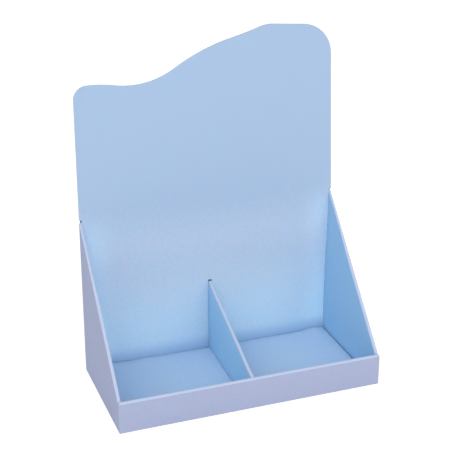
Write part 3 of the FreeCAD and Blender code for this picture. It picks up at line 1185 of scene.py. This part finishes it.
class STAND_OT_divider(bpy.types.Operator):
    """Divider: a sheet doubled over along its slanted top, with a tab at each end."""

    bl_idname = "stand.divider"
    bl_label = "Divider"

    def execute(self, context):
        divider = self.fold_divider()
        self.settle_divider(divider)
        thicken(divider)
        soften(divider)
        paint_top_folds(divider)
        stand_for(divider, "divider")
        return {"FINISHED"}

    def ends(self):
        """Front and back end of the divider's leaves, along Y."""
        return lip_back() + END_PLAY, BODY_HIGH.y - sizes().board - END_PLAY

    def fold_divider(self):
        """The slanted top fold, the leaf that hangs from each side of it, and the two tabs."""
        size = sizes()
        half_board = size.board / 2
        leaf = DIVIDER_HIGH.x - half_board
        front, rear = self.ends()
        slope = (DIVIDER_HIGH.z - size.lip_height) / (rear - front)
        drop = half_board * math.sqrt(1 + slope**2)
        top_front = size.lip_height - drop
        foot = DIVIDER_LOW.z
        divider = new_sheet(
            "divider_sheet",
            (-leaf, front, foot),
            (leaf, rear, foot),
            ("divider_print", "cut_edge", "fold_print"),
        )
        bpy.ops.mesh.select_all(action="SELECT")
        bpy.ops.transform.translate(value=(0, 0, top_front - foot))
        select_points(divider, lambda co: near(co.y, rear))
        bpy.ops.transform.translate(value=(0, 0, DIVIDER_HIGH.z - size.lip_height))
        for side in (-leaf, leaf):
            select_edges(divider, lambda co: near(co.x, side))
            extrude(0, 0, -size.lip_height / 2)
            flatten(2, foot)
        tab_top = DIVIDER_HIGH.z - size.tab_drop
        for level in (size.tab_low, tab_top, size.hook_low, size.hook_high):
            cut((0, 0, level), (0, 0, 1))
        for end, low, high, length in (
            (rear, size.tab_low, tab_top, BODY_HIGH.y - rear),
            (front, size.hook_low, size.hook_high, -size.board - END_PLAY),
        ):
            select_edges(divider, lambda co: near(co.y, end) and low - TOUCH < co.z < high + TOUCH)
            extrude(0, length, 0)
        cut_evenly(1, front, rear, WIDE_STRIP)
        for side in (-leaf, leaf):
            bend_folds(
                divider,
                lambda co: near(co.x, side) and near(co.z, top_front + (co.y - front) * slope),
            )
        return divider

    def settle_divider(self, divider):
        """Let the foot lift and spread near the lip, and the back ends and the top fold stray."""
        size = sizes()
        front, rear = self.ends()
        foot = DIVIDER_LOW.z
        lifted = foot + size.divider_lift
        nudge(
            divider,
            lambda co: near(co.z, foot) and co.y < FRONT_FOOT_END,
            (0, 0, size.divider_lift),
            FOOT_LIFT_REACH,
        )
        nudge(
            divider,
            lambda co: co.x < 0 and near(co.z, lifted) and co.y < FRONT_FOOT_END,
            (-size.foot_spread, 0, 0),
            FOOT_SPREAD_REACH,
        )
        nudge(
            divider,
            lambda co: near(co.y, rear) and co.z < size.hook_low,
            (0, -size.divider_gap, 0),
            REAR_FOOT_REACH,
        )
        nudge(
            divider,
            lambda co: co.y > rear - REAR_TOP_LENGTH and co.z > DIVIDER_HIGH.z - REAR_TOP_DEPTH,
            (0, 0, size.divider_gap),
            REAR_TOP_REACH,
        )
        nudge(
            divider,
            lambda co: co.x > 0 and co.y < front + FLARE_LENGTH and co.z > size.lip_height - FLARE_DEPTH,
            (size.divider_flare, 0, 0),
            FLARE_REACH,
        )


# The photograph's viewing angle, as fitted to the stand's corners.
CAMERA_PLACE = Vector((-336.2, -881.15, 549.5)) * MM
CAMERA_YAW = math.radians(20.49)
CAMERA_PITCH = math.radians(23.08)
CAMERA_ROLL = math.radians(0.27)
CAMERA_LENS = 88.57
SENSOR_WIDTH = 36

# Each lamp's place in metres and its power in watts.
LAMPS = {
    "key_lamp": ((-0.45, -1.68, 1.5), 15.5),
    "fill_lamp": ((0.54, -2.02, 0.83), 12),
    "side_lamp": ((-1.5, -0.4, 1.7), 12),
    "rear_lamp": ((0.7, 1.9, 1.4), 12),
}
LAMP_WIDTH = 1.8
LAMP_TARGET = Vector((0, 0, 150 * MM))

WHITE = (1, 1, 1)
ROOM_LIGHT = 0.5
BACKDROP_LIGHT = 1.0

# The table top, and the white that the camera sees mixed into it, so that a soft shadow stays.
TABLE_WIDTH = 30
TABLE_DROP = 0.2 * MM
TABLE_GLOW = 1.33
GLOW_SHARE = 0.6


class STAND_OT_stage(bpy.types.Operator):
    """Pale table top, soft studio light and the camera."""

    bl_idname = "stand.stage"
    bl_label = "Stage"

    def execute(self, context):
        self.lay_floor()
        self.light_world()
        self.hang_lamps()
        self.place_camera()
        context.scene.view_settings.view_transform = "Standard"
        return {"FINISHED"}

    def lay_floor(self):
        """Table top that stays white to the camera and keeps the stand's soft shadow."""
        clear_selection()
        bpy.ops.mesh.primitive_plane_add(size=TABLE_WIDTH, location=(0, 0, -TABLE_DROP))
        floor = bpy.context.object
        floor.name = "table_top"
        shader = Shader(bpy.data.materials.new("table_top"))
        matt = shader.node(
            "ShaderNodeBsdfPrincipled", {}, Base_Color=opaque(colours().stage), Roughness=0.9
        )
        glow = shader.node("ShaderNodeEmission", {}, opaque(WHITE), Strength=TABLE_GLOW)
        surface = shader.node("ShaderNodeMixShader", {}, GLOW_SHARE * shader.seen(), matt, glow)
        floor.data.materials.append(shader.finish(surface))

    def light_world(self):
        """Even soft light all round, in front of a white backdrop."""
        world = bpy.context.scene.world or bpy.data.worlds.new("studio")
        bpy.context.scene.world = world
        shader = Shader(world)
        room = shader.node("ShaderNodeBackground", {}, opaque(WHITE), Strength=ROOM_LIGHT)
        backdrop = shader.node("ShaderNodeBackground", {}, opaque(WHITE), Strength=BACKDROP_LIGHT)
        surface = shader.node("ShaderNodeMixShader", {}, shader.seen(), room, backdrop)
        shader.finish(surface, "ShaderNodeOutputWorld")

    def hang_lamps(self):
        """Large soft lamps: over the camera's shoulder, low in front, to the left and behind."""
        for name, (place, power) in LAMPS.items():
            bpy.ops.object.light_add(type="AREA", location=place)
            lamp = bpy.context.object
            lamp.name = name
            lamp.data.energy = power
            lamp.data.size = LAMP_WIDTH
            lamp.rotation_euler = (LAMP_TARGET - lamp.location).to_track_quat("-Z", "Y").to_euler()

    def place_camera(self):
        """Camera at the photograph's viewing angle."""
        camera_data = bpy.data.cameras.new("camera")
        camera_data.lens = CAMERA_LENS
        camera_data.sensor_width = SENSOR_WIDTH
        camera = bpy.data.objects.new("camera", camera_data)
        bpy.context.scene.collection.objects.link(camera)
        turn = (
            Matrix.Rotation(-CAMERA_YAW, 4, "Z")
            @ Matrix.Rotation(math.pi / 2 - CAMERA_PITCH, 4, "X")
            @ Matrix.Rotation(CAMERA_ROLL, 4, "Z")
        )
        camera.matrix_world = Matrix.Translation(CAMERA_PLACE) @ turn
        bpy.context.scene.camera = camera


class VIEW3D_PT_display_stand(bpy.types.Panel):
    """Sizes, colours and steps of the display stand."""

    bl_label = "Display Stand"
    bl_space_type = "VIEW_3D"
    bl_region_type = "UI"
    bl_category = "Display Stand"

    def draw(self, context):
        for group in (context.scene.stand_sizes, context.scene.stand_colours):
            for name in group.__annotations__:
                self.layout.prop(group, name)
        for step in STEPS:
            self.layout.operator(step.bl_idname)


STEPS = (STAND_OT_back_panel, STAND_OT_tray, STAND_OT_side_walls, STAND_OT_divider, STAND_OT_stage)
CLASSES = (StandSizes, StandColours, *STEPS, VIEW3D_PT_display_stand)


def register():
    for item in CLASSES:
        bpy.utils.register_class(item)
    bpy.types.Scene.stand_sizes = bpy.props.PointerProperty(type=StandSizes)
    bpy.types.Scene.stand_colours = bpy.props.PointerProperty(type=StandColours)


def unregister():
    del bpy.types.Scene.stand_colours
    del bpy.types.Scene.stand_sizes
    for item in reversed(CLASSES):
        bpy.utils.unregister_class(item)


def main():
    """Build the whole stand."""
    register()
    bpy.ops.stand.back_panel()
    bpy.ops.stand.tray()
    bpy.ops.stand.side_walls()
    bpy.ops.stand.divider()
    bpy.ops.stand.stage()
    bpy.context.view_layer.update()


if __name__ == "__main__":
    main()
